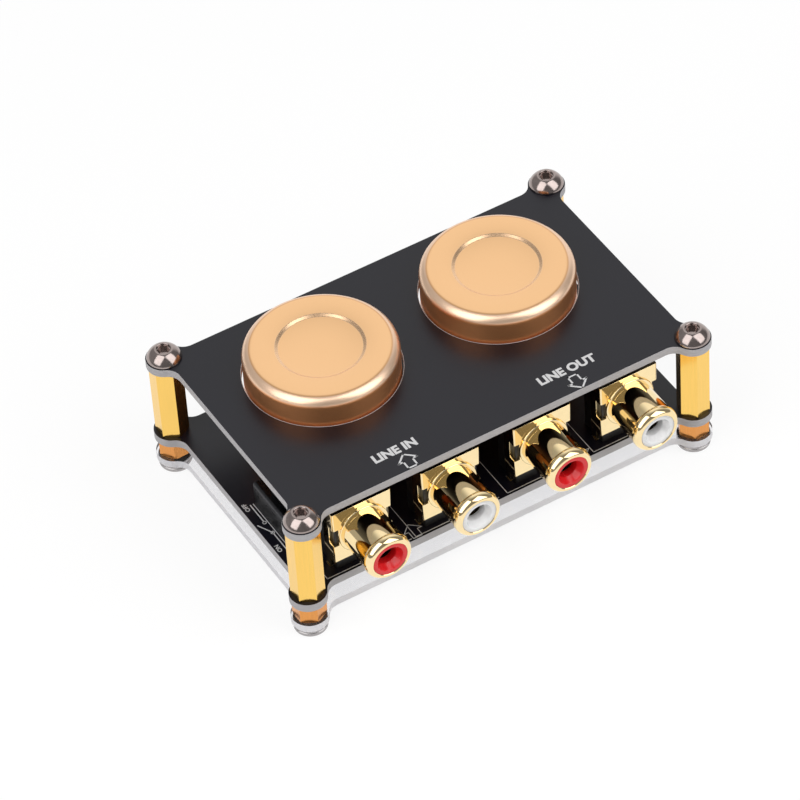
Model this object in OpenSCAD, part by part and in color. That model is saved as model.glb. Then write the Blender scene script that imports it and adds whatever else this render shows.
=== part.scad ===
// Passive preamplifier: an open stack of three plates on four brass columns.
// Two shielded audio transformers stand on the middle board and pass through the top plate.
// Four phono jacks face the front, and a slide switch near the left edge lifts the ground.
// Millimetres. +Z is up, +Y runs from the jacks to the back, and z = 0 is the floor under the feet.

/* [Plates] */
// Distance between the screw centres along the long side
screw_pitch_x = 75; // [72:0.5:110]
// Distance between the screw centres along the short side
screw_pitch_y = 45; // [43:0.5:80]
// Radius of the round ear at each corner
ear_r = 3.2; // [2.7:0.1:5]
// Radius of the inside fillet between an ear and the straight edges
ear_fillet = 2.6; // [1:0.25:5]
// Thickness of the top plate
plate_t = 1.6; // [1:0.1:3]
// Thickness of the main board
board_t = 1.6; // [1:0.1:2.5]
// Thickness of the clear base plate
base_t = 1.5; // [1:0.1:3]

/* [Columns] */
// Distance across the flats of the brass standoffs and spacers
hex_af = 5; // [4.5:0.1:6]
// Length of the standoffs between the main board and the top plate
standoff_h = 15; // [14:0.5:25]
// Length of the spacers between the base plate and the main board
spacer_h = 3.4; // [2.6:0.1:6]
// Length of the bevel on the ends of the standoffs and spacers
hex_bevel = 0.25; // [0.1:0.05:0.5]
// Diameter of the screw threads
thread_d = 3; // [2.5:0.1:3.5]

/* [Screws] */
// Diameter of a top screw's button head
head_d = 6; // [5.2:0.1:7]
// Height of a top screw's button head
head_h = 1.9; // [1.4:0.05:2.5]
// Height of the straight rim under the dome of a button head
head_rim = 0.25; // [0.1:0.05:0.4]
// Diameter of the flat on top of a button head
head_flat_d = 3; // [2.8:0.1:3.6]
// Distance across the flats of the hex socket
socket_af = 2; // [1.5:0.1:2.2]
// Diameter of the round mouth of the hex socket
socket_mouth_d = 2.4; // [2:0.1:2.7]
// Depth of the round mouth of the hex socket
socket_mouth_depth = 0.3; // [0.1:0.05:0.5]
// Depth of the hex socket
socket_depth = 1.05; // [0.6:0.05:1.2]
// Length of a top screw under its head
top_screw_len = 6; // [4:0.5:7]
// Diameter of a foot screw's head
foot_d = 5.8; // [5:0.1:7]
// Height of a foot screw's head, which is the foot
foot_h = 1.6; // [1:0.1:3]
// Radius of the round edge of a foot
foot_edge_r = 0.4; // [0.1:0.05:0.6]
// Length of a foot screw under its head
foot_screw_len = 10; // [9:0.5:12]
// Length of the cross recess in a foot
cross_len = 3; // [2:0.1:3.6]
// Width of the cross recess in a foot
cross_w = 0.6; // [0.4:0.1:0.9]
// Depth of the cross recess in a foot
cross_depth = 0.7; // [0.4:0.1:0.9]

/* [Transformers] */
// Outside diameter of a shield can
can_d = 26.3; // [23:0.1:27]
// Sheet thickness of a shield can
can_wall = 0.5; // [0.3:0.05:0.8]
// Height of a can above the top plate
can_rise = 5.4; // [3:0.1:12]
// Radius of a can's upper edge
can_edge_r = 1.8; // [1:0.1:2.5]
// Diameter of the round recess in a can's top
recess_d = 15; // [12:0.5:18]
// Depth of the recess in a can's top
recess_depth = 0.35; // [0.2:0.05:0.8]
// Width of the slope round the recess
recess_slope = 0.35; // [0.2:0.05:0.8]
// Distance between the centres of the two cans
can_spacing = 34.2; // [30:0.1:36]
// Distance of the can centres behind the middle of the plates
can_back = 5.4; // [4:0.1:7]
// Width of the tabs that hold a can on the board
can_tab_w = 2; // [1:0.1:3]
// Number of tabs on a can
can_tabs = 3; // [2:1:4]
// Thickness of the disc that closes a can at the board
disc_t = 1.6; // [1:0.1:2.5]
// Height of the ring on the disc that carries the coil
seat_h = 1.5; // [1.2:0.1:2.5]
// Width of the ring on the disc that carries the coil
seat_w = 2; // [1:0.1:3]
// Thickness of the foam pad over the coil
pad_t = 1.5; // [0.8:0.1:3]
// Thickness of a winding on the core
winding_t = 2.2; // [1:0.1:2.4]
// Diameter of the hole in the core
core_bore_d = 10; // [9:0.1:11]
// Angle that a winding covers on the core
winding_angle = 160; // [120:5:170]
// Diameter of a connection pin
pin_d = 0.8; // [0.5:0.05:1]
// Diameter of the wire that joins a winding to a pin
lead_d = 0.6; // [0.3:0.05:0.8]

/* [Jacks] */
// Distance between the two jacks of a pair
jack_pitch = 16.9; // [14:0.1:17.4]
// Distance between the inner jacks of the two pairs
pair_pitch = 17.7; // [15:0.1:19]
// Distance of the middle of the jack row to the right of the plates' middle
row_shift = -0.25; // [-1:0.05:1]
// Distance from the board's front edge back to the flanges
flange_setback = 0.95; // [0:0.05:3]
// Height of a flange's lower edge above the board
flange_rise = 2; // [1:0.1:3]
// Width of a flange
flange_w = 11.2; // [10.6:0.1:12]
// Height of a flange
flange_h = 11.2; // [10.6:0.1:12]
// Sheet thickness of a flange
flange_t = 0.5; // [0.3:0.05:0.7]
// Depth of the side legs that are bent back from a flange
leg_depth = 3.2; // [2.8:0.1:4.5]
// Width of the window that each bend takes out of a flange's front
window_w = 1.05; // [0.8:0.05:1.2]
// Height of the windows in the bends
window_h = 3.6; // [2:0.1:5]
// Depth that the windows reach back into the side legs
window_depth = 1.45; // [0.8:0.05:1.6]
// Outside diameter of a jack's barrel
barrel_d = 8.3; // [8.1:0.05:8.6]
// Wall thickness of a barrel round its insulator
barrel_wall = 0.95; // [0.85:0.05:1.1]
// Length of a barrel in front of its flange
barrel_len = 8.8; // [7:0.1:12]
// Width of the collar that seats a barrel on its flange
collar_w = 0.5; // [0.3:0.05:0.7]
// Thickness of the collar
collar_t = 0.45; // [0.3:0.05:0.8]
// Wall thickness of the barrel's spigot behind the collar
spigot_wall = 0.6; // [0.4:0.05:0.8]
// Length of the spigot behind the flange's front
spigot_len = 1.6; // [1.2:0.1:2.4]
// Radius of the rounded lip at the mouth
lip_r = 0.75; // [0.3:0.05:0.8]
// Distance of an insulator's face behind the mouth
insulator_inset = 0.15; // [0.05:0.05:0.5]
// Diameter of the funnel at an insulator's face
funnel_d = 4.7; // [4:0.1:5.4]
// Depth of the funnel
funnel_depth = 1.2; // [0.8:0.1:2]
// Diameter of the throat behind the funnel
throat_d = 3.5; // [3.4:0.05:3.8]
// Length of the throat
throat_len = 1.3; // [0.5:0.1:2]
// Inside diameter of the centre contact
contact_bore_d = 3.3; // [3.2:0.02:3.4]
// Wall thickness of the centre contact
contact_wall = 0.35; // [0.2:0.05:0.5]
// Depth of the hole for a plug's pin, from the mouth
plug_depth = 14.4; // [13:0.1:14.6]
// Length of a jack's rear body
body_len = 5.6; // [5.4:0.1:8]
// Height that the flange stands above the rear body
body_drop = 0.8; // [0.2:0.1:2]
// Width of the soldered tails
tail_w = 1.2; // [0.8:0.1:1.6]

/* [Switch] */
// Length of the switch
switch_len = 12.5; // [10:0.1:14]
// Width of the switch
switch_w = 4.9; // [4.4:0.1:5.2]
// Height of the switch's steel shell
switch_h = 5.4; // [4.4:0.1:7]
// Sheet thickness of the shell
shell_t = 0.3; // [0.2:0.05:0.5]
// Outside radius of the shell's two top bends
shell_bend_r = 0.6; // [0.5:0.05:1]
// Travel of the slider, which is also the pitch of the terminals
switch_travel = 2.5; // [1.5:0.1:3]
// Length of the slider's block inside the shell
block_len = 6; // [5:0.1:7]
// Length of the slider's knob along the travel
knob_len = 3; // [2:0.1:3.6]
// Width of the slider's knob
knob_w = 2; // [1.4:0.1:2.6]
// Height of the knob above the shell
knob_h = 4; // [2:0.1:5]
// Number of grip grooves across the knob's top
knob_grooves = 3; // [1:1:4]
// Width of a grip groove
groove_w = 0.35; // [0.2:0.05:0.4]
// Depth of a grip groove
groove_depth = 0.4; // [0.2:0.05:0.8]
// Thickness of the terminal base
terminal_base_t = 1; // [0.8:0.1:1.5]
// Width of a terminal's contact pad
pad_w = 1.4; // [1:0.1:2]
// Thickness of a terminal's contact pad
terminal_pad_t = 0.25; // [0.15:0.05:0.4]
// Thickness of the bridge contact
bridge_t = 0.25; // [0.15:0.05:0.4]

/* [Fits] */
// Gap round a screw in a plate's hole
hole_gap = 0.1; // [0.05:0.05:0.2]
// Gap round a screw's thread in a brass column
thread_gap = 0.02; // [0.01:0.01:0.05]
// Gap between a can and the hole in the top plate
can_gap = 0.3; // [0.1:0.05:0.6]
// Gap between a coil and the wall of its can
coil_gap = 0.8; // [0.4:0.1:1]
// Gap between pieces that are pushed into each other
seat_gap = 0.02; // [0.01:0.01:0.05]
// Gap round pins and tails in the board
pin_gap = 0.1; // [0.05:0.05:0.2]
// Length of pins and tails below the board
tail_drop = 1.2; // [0.6:0.1:1.6]
// Gap between the switch and the jack bodies in front of it
switch_gap = 2.05; // [0.2:0.05:3]
// Gap between the switch and the can beside it
switch_can_gap = 1.45; // [0.5:0.05:2]
// Gap between the slider and the shell
slide_gap = 0.1; // [0.05:0.05:0.15]
// Gap between the bridge contact and the terminals
contact_gap = 0.05; // [0.03:0.01:0.1]

/* [Hidden] */
$fn = 96;
cut = 1;
corner_names = ["front_left", "front_right", "back_right", "back_left"];
corner_signs = [[-1, -1], [1, -1], [1, 1], [-1, 1]];
standoff_turns = [31, 12, 38, 28];
spacer_turns = [28, 3, 8, 2];
side_names = ["left", "right"];
jack_names = ["input_red", "input_white", "output_red", "output_white"];
jack_colours = ["crimson", "whitesmoke", "crimson", "whitesmoke"];

z_base = foot_h;
z_spacer = z_base + base_t;
z_board = z_spacer + spacer_h;
z_deck = z_board + board_t;
z_plate = z_deck + standoff_h;
z_top = z_plate + plate_t;
front_edge = -screw_pitch_y / 2;
left_edge = -screw_pitch_x / 2;
flange_y = front_edge + flange_setback;
back_reach = screw_pitch_y / 2 + ear_r;
front_reach = max(back_reach, barrel_len - flange_y);
frame_shift = (front_reach - back_reach) / 2;
tail_len = board_t + tail_drop;

bolt_r = thread_d / 2;
hole_r = bolt_r + hole_gap;
hex_r = hex_af / 2 / cos(30);
fillet_reach = sqrt(ear_r * (ear_r + 2 * ear_fillet));

can_r = can_d / 2;
can_inner_r = can_r - can_wall;
can_h = standoff_h + plate_t + can_rise;
recess_r = recess_d / 2;
coil_r = can_inner_r - coil_gap;
core_outer_r = coil_r - winding_t;
core_bore_r = core_bore_d / 2;
coil_bore_r = core_bore_r - winding_t;
coil_z = disc_t + seat_h;
pad_z = can_h - can_wall - recess_depth - pad_t;
coil_h = pad_z - coil_z;
core_h = coil_h - 2 * winding_t;
disc_r = can_inner_r - seat_gap;
post_r = coil_bore_r - seat_gap;
post_h = coil_z + coil_h / 2;
pad_r = recess_r - recess_slope;
pin_r = pin_d / 2;
pin_ring_r = coil_r - pin_r;
pin_top = disc_t + seat_h / 2;
seat_outer_r = pin_ring_r - 2 * pin_r;
pin_spread = winding_angle / 4;
pin_angles = [for (side = [90, 270], step = [-1, 1]) side + step * pin_spread];
tab_angles = [for (i = [0:can_tabs - 1]) 90 + i * 360 / can_tabs];

jack_xs = [
    row_shift - pair_pitch / 2 - jack_pitch,
    row_shift - pair_pitch / 2,
    row_shift + pair_pitch / 2,
    row_shift + pair_pitch / 2 + jack_pitch
];
barrel_r = barrel_d / 2;
collar_r = barrel_r + collar_w;
bore_r = barrel_r - barrel_wall;
spigot_r = bore_r + spigot_wall;
insulator_r = bore_r - seat_gap;
axis_h = flange_rise + flange_h / 2;
face_t = barrel_len - insulator_inset;
funnel_t = face_t - funnel_depth;
throat_t = funnel_t - throat_len;
contact_bore_r = contact_bore_d / 2;
contact_r = contact_bore_r + contact_wall;
throat_r = throat_d / 2;
plug_clear_r = contact_r + seat_gap;
body_w = flange_w - 2 * flange_t - 2 * seat_gap;
body_h = flange_rise + flange_h - body_drop;
body_back = flange_t + body_len;
contact_end = plug_depth - barrel_len - 2 * contact_wall;
tail_y = spigot_len + (contact_end - spigot_len) / 2;
leg_tail_y = (window_depth + leg_depth - tail_w) / 2;

switch_front = flange_y + body_back + switch_gap;
switch_y = switch_front + switch_len / 2;
can_behind_switch = max(0, can_back - switch_front - switch_len);
can_half_chord = sqrt(max(0, can_r * can_r - can_behind_switch * can_behind_switch));
switch_x = -can_spacing / 2 - can_half_chord - switch_can_gap - switch_w / 2;
shell_inner_w = switch_w - 2 * shell_t;
shell_inner_len = switch_len - 2 * shell_t;
shell_roof = switch_h - shell_t;
bridge_z = terminal_base_t + terminal_pad_t + contact_gap;
block_z = bridge_z + bridge_t;
block_w = shell_inner_w - 2 * slide_gap;
block_top = shell_roof - slide_gap;
slider_y = switch_travel / 2;
slot_len = knob_len + switch_travel + 2 * slide_gap;
pad_len = switch_travel - 2 * terminal_pad_t - 2 * contact_gap;
bridge_len = switch_travel + pad_len / 2;
terminal_ys = [-switch_travel, 0, switch_travel];

// Places: the frame's origin is on the floor under the middle of the whole object.

module at_centre(z) {
    translate([0, frame_shift, z]) children();
}

module at_corner(i, z) {
    sign = corner_signs[i];
    at_centre(z) translate([sign[0] * screw_pitch_x / 2, sign[1] * screw_pitch_y / 2, 0]) children();
}

module at_can(i) {
    at_centre(z_deck) translate([(i - 0.5) * can_spacing, can_back, 0]) children();
}

module at_jack(i) {
    at_centre(z_deck) translate([jack_xs[i], flange_y, 0]) children();
}

module at_switch() {
    at_centre(z_deck) translate([switch_x, switch_y, 0]) children();
}

// A jack's round pieces are turned about +Z, which becomes the way out of the mouth.
module on_jack_axis() {
    translate([0, 0, axis_h]) rotate([90, 0, 0]) children();
}

// Plates

module ear() {
    difference() {
        union() {
            circle(r = ear_r);
            polygon([
                [0, 0],
                [fillet_reach, -ear_fillet],
                [fillet_reach, ear_r],
                [ear_r, fillet_reach],
                [-ear_fillet, fillet_reach]
            ]);
        }
        translate([fillet_reach, -ear_fillet]) circle(r = ear_fillet);
        translate([-ear_fillet, fillet_reach]) circle(r = ear_fillet);
    }
}

module plate_outline() {
    difference() {
        union() {
            square([screw_pitch_x, screw_pitch_y], center = true);
            for (mx = [0, 1], my = [0, 1]) {
                mirror([mx, 0]) mirror([0, my]) translate([left_edge, front_edge]) ear();
            }
        }
        for (sign = corner_signs) {
            translate([sign[0] * screw_pitch_x / 2, sign[1] * screw_pitch_y / 2]) circle(r = hole_r);
        }
    }
}

module top_plate() {
    color("#35343a") at_centre(z_plate) linear_extrude(plate_t) difference() {
        plate_outline();
        for (i = [0, 1]) {
            translate([(i - 0.5) * can_spacing, can_back]) circle(r = can_r + can_gap);
        }
    }
}

module slot(x, y, w, l) {
    translate([x, y]) square([w + 2 * pin_gap, l + 2 * pin_gap], center = true);
}

module can_holes() {
    for (a = pin_angles) {
        rotate(a) translate([pin_ring_r, 0]) circle(r = pin_r + pin_gap);
    }
    for (a = tab_angles) {
        rotate(a) slot(can_r - can_wall / 2, 0, can_wall, can_tab_w);
    }
}

module jack_holes() {
    for (sx = [-1, 1]) {
        slot(sx * (flange_w - flange_t) / 2, leg_tail_y + tail_w / 2, flange_t, tail_w);
    }
    slot(0, tail_y, tail_w, contact_wall);
}

module switch_holes() {
    for (y = terminal_ys) {
        slot(0, y, tail_w, terminal_pad_t);
    }
    for (sy = [-1, 1]) {
        slot(0, sy * (switch_len - shell_t) / 2, tail_w, shell_t);
    }
}

module main_board() {
    color("#232226") at_centre(z_board) linear_extrude(board_t) difference() {
        plate_outline();
        for (i = [0, 1]) {
            translate([(i - 0.5) * can_spacing, can_back]) can_holes();
        }
        for (x = jack_xs) {
            translate([x, flange_y]) jack_holes();
        }
        translate([switch_x, switch_y]) switch_holes();
    }
}

module base_plate() {
    color("#dfdce6", 0.4) at_centre(z_base) linear_extrude(base_t) plate_outline();
}

// Columns and screws

module hex_column(h, turn) {
    difference() {
        intersection() {
            rotate(turn) cylinder(h = h, r = hex_r, $fn = 6);
            rotate_extrude() polygon([
                [0, 0],
                [hex_r - hex_bevel, 0],
                [hex_r - hex_bevel + h / 2, h / 2],
                [hex_r - hex_bevel, h],
                [0, h]
            ]);
        }
        translate([0, 0, -cut]) cylinder(h = h + 2 * cut, r = bolt_r + thread_gap);
    }
}

module standoff(i) {
    color("#e8b34b") at_corner(i, z_deck) hex_column(standoff_h, standoff_turns[i]);
}

module spacer(i) {
    color("#d99a3d") at_corner(i, z_spacer) hex_column(spacer_h, spacer_turns[i]);
}

module button_head() {
    dome_h = head_h - head_rim;
    flat_r = head_flat_d / 2;
    rim_r = head_d / 2;
    centre_z = (flat_r * flat_r + dome_h * dome_h - rim_r * rim_r) / (2 * dome_h);
    dome_r = sqrt(rim_r * rim_r + centre_z * centre_z);
    socket_r = socket_af / 2 / cos(30);
    difference() {
        rotate_extrude() {
            square([rim_r, head_rim]);
            translate([0, head_rim]) intersection() {
                translate([0, centre_z]) circle(r = dome_r);
                square([rim_r, dome_h]);
            }
        }
        translate([0, 0, head_h - socket_depth]) cylinder(h = socket_depth + cut, r = socket_r, $fn = 6);
        translate([0, 0, head_h - socket_mouth_depth])
            cylinder(h = socket_mouth_depth + cut, r = socket_mouth_d / 2);
    }
}

module top_screw(i) {
    color("#5a4e4a") at_corner(i, z_top) {
        button_head();
        translate([0, 0, -top_screw_len]) cylinder(h = top_screw_len, r = bolt_r);
    }
}

module foot_screw(i) {
    foot_r = foot_d / 2;
    color("#8d8886") at_corner(i, 0) {
        difference() {
            rotate_extrude() {
                translate([0, foot_edge_r]) square([foot_r, foot_h - foot_edge_r]);
                square([foot_r - foot_edge_r, foot_h]);
                translate([foot_r - foot_edge_r, foot_edge_r]) circle(r = foot_edge_r);
            }
            for (a = [0, 90]) {
                rotate(a) cube([cross_len, cross_w, 2 * cross_depth], center = true);
            }
        }
        translate([0, 0, foot_h]) cylinder(h = foot_screw_len, r = bolt_r);
    }
}

// Transformers

// Half section of the can's outside, or of its inside when it is drawn smaller by the wall.
module can_section(r, h, edge_r, step_r) {
    difference() {
        union() {
            square([r, h - edge_r]);
            square([r - edge_r, h]);
            translate([r - edge_r, h - edge_r]) circle(r = edge_r);
        }
        polygon([
            [0, h - recess_depth],
            [step_r - recess_slope, h - recess_depth],
            [step_r, h],
            [0, h]
        ]);
    }
}

module can_tab_ring() {
    for (a = tab_angles) {
        rotate(a) translate([can_r - can_wall, -can_tab_w / 2, -tail_len])
            cube([can_wall, can_tab_w, tail_len + can_wall]);
    }
}

module transformer_can(i) {
    color("#e0a868") at_can(i) {
        rotate_extrude() difference() {
            can_section(can_r, can_h, can_edge_r, recess_r);
            can_section(can_inner_r, can_h - can_wall, can_edge_r - can_wall, recess_r + can_wall / 2);
        }
        intersection() {
            can_tab_ring();
            translate([0, 0, -tail_len]) cylinder(h = tail_len + can_wall, r = can_r);
        }
    }
}

module transformer_base(i) {
    color("#2b2622") at_can(i) difference() {
        rotate_extrude() {
            square([disc_r, disc_t]);
            square([post_r, post_h]);
            translate([seat_outer_r - seat_w, 0]) square([seat_w, coil_z]);
        }
        for (a = pin_angles) {
            rotate(a) translate([pin_ring_r, 0, -cut])
                cylinder(h = disc_t + 2 * cut, r = pin_r + seat_gap);
        }
        for (a = tab_angles) {
            rotate(a) translate([disc_r - can_wall, -can_tab_w / 2 - pin_gap, -cut])
                cube([2 * can_wall, can_tab_w + 2 * pin_gap, cut + 2 * can_wall]);
        }
    }
}

module transformer_core(i) {
    color("#77757a") at_can(i) translate([0, 0, coil_z + winding_t]) rotate_extrude()
        translate([core_bore_r, 0]) square([core_outer_r - core_bore_r, core_h]);
}

module winding(i, middle) {
    at_can(i) {
        translate([0, 0, coil_z]) rotate(middle - winding_angle / 2) rotate_extrude(angle = winding_angle)
            difference() {
                translate([coil_bore_r, 0]) square([coil_r - coil_bore_r, coil_h]);
                translate([core_bore_r - seat_gap, winding_t - seat_gap])
                    square([core_outer_r - core_bore_r + 2 * seat_gap, core_h + 2 * seat_gap]);
            }
        for (a = [middle - pin_spread, middle + pin_spread]) {
            rotate(a) translate([pin_ring_r, 0, pin_top])
                cylinder(h = coil_z - pin_top + lead_d, r = lead_d / 2);
        }
    }
}

module primary_winding(i) {
    color("#b86b36") winding(i, 270);
}

module secondary_winding(i) {
    color("#c97b41") winding(i, 90);
}

module foam_pad(i) {
    color("#56535a") at_can(i) translate([0, 0, pad_z]) cylinder(h = pad_t, r = pad_r);
}

module transformer_pins(i) {
    color("#c9c4ba") at_can(i) for (a = pin_angles) {
        rotate(a) translate([pin_ring_r, 0, -tail_len]) cylinder(h = tail_len + pin_top, r = pin_r);
    }
}

// Jacks

module jack_barrel(i) {
    lip_t = barrel_len - lip_r;
    color("#e6b95c") at_jack(i) on_jack_axis() rotate_extrude() {
        polygon([
            [bore_r, -spigot_len],
            [spigot_r, -spigot_len],
            [spigot_r, 0],
            [collar_r, 0],
            [collar_r, collar_t / 2],
            [collar_r - collar_t / 2, collar_t],
            [barrel_r, collar_t],
            [barrel_r, lip_t],
            [barrel_r - lip_r, barrel_len],
            [bore_r, barrel_len]
        ]);
        translate([barrel_r - lip_r, lip_t]) intersection() {
            circle(r = lip_r);
            square(lip_r);
        }
    }
}

module jack_flange(i) {
    color("#e3b552") at_jack(i) {
        difference() {
            union() {
                translate([-flange_w / 2, 0, flange_rise]) cube([flange_w, flange_t, flange_h]);
                for (side = [-flange_w / 2, flange_w / 2 - flange_t]) {
                    translate([side, 0, flange_rise]) cube([flange_t, leg_depth, flange_h]);
                }
            }
            on_jack_axis() cylinder(h = 4 * flange_t, r = spigot_r + seat_gap, center = true);
            for (side = [-flange_w / 2 - cut, flange_w / 2 - window_w]) {
                translate([side, -cut, axis_h - window_h / 2])
                    cube([window_w + cut, window_depth + cut, window_h]);
            }
        }
        for (side = [-flange_w / 2, flange_w / 2 - flange_t]) {
            translate([side, leg_tail_y, -tail_len]) cube([flange_t, tail_w, tail_len + flange_rise + flange_t]);
        }
    }
}

module jack_insulator(i) {
    color(jack_colours[i]) at_jack(i) on_jack_axis() rotate_extrude() polygon([
        [contact_r + seat_gap, -spigot_len],
        [insulator_r, -spigot_len],
        [insulator_r, face_t],
        [funnel_d / 2, face_t],
        [throat_r, funnel_t],
        [throat_r, throat_t],
        [contact_r + seat_gap, throat_t]
    ]);
}

module jack_contact(i) {
    color("#d8a94d") at_jack(i) {
        on_jack_axis() translate([0, 0, -contact_end]) difference() {
            cylinder(h = contact_end + throat_t - seat_gap, r = contact_r);
            translate([0, 0, -cut]) cylinder(h = contact_end + throat_t + 2 * cut, r = contact_bore_r);
        }
        translate([-tail_w / 2, tail_y - contact_wall / 2, -tail_len])
            cube([tail_w, contact_wall, tail_len + axis_h - contact_bore_r - contact_wall / 2]);
    }
}

module jack_body(i) {
    plug_end = plug_depth - barrel_len;
    color("#1d1c1f") at_jack(i) difference() {
        translate([-body_w / 2, flange_t, 0]) cube([body_w, body_len, body_h]);
        on_jack_axis() translate([0, 0, -spigot_len]) cylinder(h = spigot_len, r = spigot_r + seat_gap);
        on_jack_axis() translate([0, 0, -plug_end]) cylinder(h = plug_end, r = plug_clear_r);
        translate([-tail_w / 2 - pin_gap, tail_y - contact_wall / 2 - pin_gap, -cut])
            cube([tail_w + 2 * pin_gap, body_back, axis_h + cut]);
    }
}

// Switch

module shell_section(w, h, r) {
    translate([-w / 2, 0]) square([w, h - r]);
    translate([-w / 2 + r, 0]) square([w - 2 * r, h]);
    for (sx = [-1, 1]) {
        translate([sx * (w / 2 - r), h - r]) circle(r = r);
    }
}

module shell_block(w, l, h, r) {
    translate([0, l / 2, 0]) rotate([90, 0, 0]) linear_extrude(l) shell_section(w, h, r);
}

module switch_shell() {
    color("#8f8f92") at_switch() {
        difference() {
            shell_block(switch_w, switch_len, switch_h, shell_bend_r);
            translate([0, 0, -cut])
                shell_block(shell_inner_w, shell_inner_len, shell_roof + cut, shell_bend_r - shell_t);
            translate([0, 0, switch_h])
                cube([knob_w + 2 * slide_gap, slot_len, 4 * shell_t], center = true);
        }
        for (sy = [-1, 1]) {
            translate([-tail_w / 2, sy * (switch_len - shell_t) / 2 - shell_t / 2, -tail_len])
                cube([tail_w, shell_t, tail_len + shell_t]);
        }
    }
}

module switch_base() {
    color("#3a2f28") at_switch() difference() {
        linear_extrude(terminal_base_t)
            square([shell_inner_w - 2 * seat_gap, shell_inner_len - 2 * seat_gap], center = true);
        for (y = terminal_ys) {
            translate([0, y, -cut]) linear_extrude(terminal_base_t + 2 * cut)
                square([tail_w + 2 * seat_gap, terminal_pad_t + 2 * seat_gap], center = true);
        }
    }
}

module switch_terminals() {
    color("#d0ccc4") at_switch() for (y = terminal_ys) {
        translate([-tail_w / 2, y - terminal_pad_t / 2, -tail_len])
            cube([tail_w, terminal_pad_t, tail_len + terminal_base_t + terminal_pad_t]);
        translate([-pad_w / 2, y - pad_len / 2, terminal_base_t]) cube([pad_w, pad_len, terminal_pad_t]);
    }
}

module switch_slider() {
    groove_pitch = knob_len / (knob_grooves + 1);
    color("#18171a") at_switch() translate([0, slider_y, 0]) difference() {
        union() {
            translate([-block_w / 2, -block_len / 2, block_z])
                cube([block_w, block_len, block_top - block_z]);
            translate([-knob_w / 2, -knob_len / 2, block_z])
                cube([knob_w, knob_len, switch_h + knob_h - block_z]);
        }
        for (g = [1:knob_grooves]) {
            translate([0, g * groove_pitch - knob_len / 2, switch_h + knob_h])
                cube([knob_w + cut, groove_w, 2 * groove_depth], center = true);
        }
    }
}

module switch_bridge() {
    color("#d9b25f") at_switch() translate([-pad_w / 2, slider_y - bridge_len / 2, bridge_z])
        cube([pad_w, bridge_len, bridge_t]);
}

base_plate();
main_board();
top_plate();
for (i = [0:3]) {
    foot_screw(i);
    spacer(i);
    standoff(i);
    top_screw(i);
}
for (i = [0, 1]) {
    transformer_can(i);
    transformer_base(i);
    transformer_core(i);
    primary_winding(i);
    secondary_winding(i);
    foam_pad(i);
    transformer_pins(i);
}
for (i = [0:3]) {
    jack_barrel(i);
    jack_flange(i);
    jack_insulator(i);
    jack_contact(i);
    jack_body(i);
}
switch_base();
switch_terminals();
switch_shell();
switch_slider();
switch_bridge();
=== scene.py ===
import math

import bpy
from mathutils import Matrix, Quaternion, Vector


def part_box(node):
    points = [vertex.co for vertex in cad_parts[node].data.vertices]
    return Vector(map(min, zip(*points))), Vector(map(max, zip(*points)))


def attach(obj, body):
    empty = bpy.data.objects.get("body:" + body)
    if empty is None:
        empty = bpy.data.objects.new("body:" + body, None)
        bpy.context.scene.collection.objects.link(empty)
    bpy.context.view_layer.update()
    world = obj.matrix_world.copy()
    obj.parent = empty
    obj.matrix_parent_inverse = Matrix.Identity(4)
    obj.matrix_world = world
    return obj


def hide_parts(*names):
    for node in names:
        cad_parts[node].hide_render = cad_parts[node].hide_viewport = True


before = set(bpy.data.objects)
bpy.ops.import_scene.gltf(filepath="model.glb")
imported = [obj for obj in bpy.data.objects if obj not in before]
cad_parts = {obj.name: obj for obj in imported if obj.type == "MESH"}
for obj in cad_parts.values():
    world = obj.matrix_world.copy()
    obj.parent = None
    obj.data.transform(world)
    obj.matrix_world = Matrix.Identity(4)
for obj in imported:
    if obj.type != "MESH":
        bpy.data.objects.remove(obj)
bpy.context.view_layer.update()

# The camera stands in front of the jacks, a little to the left, and looks down on the stack through a
# long lens. It is tipped by a few degrees, as in the photograph.
MM = 0.001
AIM = Vector((-10.26, -5.73, 24.7)) * MM
CAMERA_DISTANCE = 817.3 * MM
CAMERA_AZIMUTH = math.radians(-28.3)
CAMERA_ELEVATION = math.radians(45.1)
CAMERA_ROLL = math.radians(4.09)
LENS = 224.6
NEAREST_SEEN = 10 * MM

view = Vector((
    -math.sin(CAMERA_AZIMUTH) * math.cos(CAMERA_ELEVATION),
    math.cos(CAMERA_AZIMUTH) * math.cos(CAMERA_ELEVATION),
    -math.sin(CAMERA_ELEVATION),
))
camera_data = bpy.data.cameras.new("camera")
camera_data.lens = LENS
camera_data.clip_start = NEAREST_SEEN
camera = bpy.data.objects.new("camera", camera_data)
camera.rotation_mode = "QUATERNION"
camera.rotation_quaternion = Quaternion(view, CAMERA_ROLL) @ view.to_track_quat("-Z", "Y")
camera.location = AIM - view * CAMERA_DISTANCE
bpy.context.scene.collection.objects.link(camera)
bpy.context.scene.camera = camera
bpy.context.scene.view_settings.view_transform = "Standard"

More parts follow.
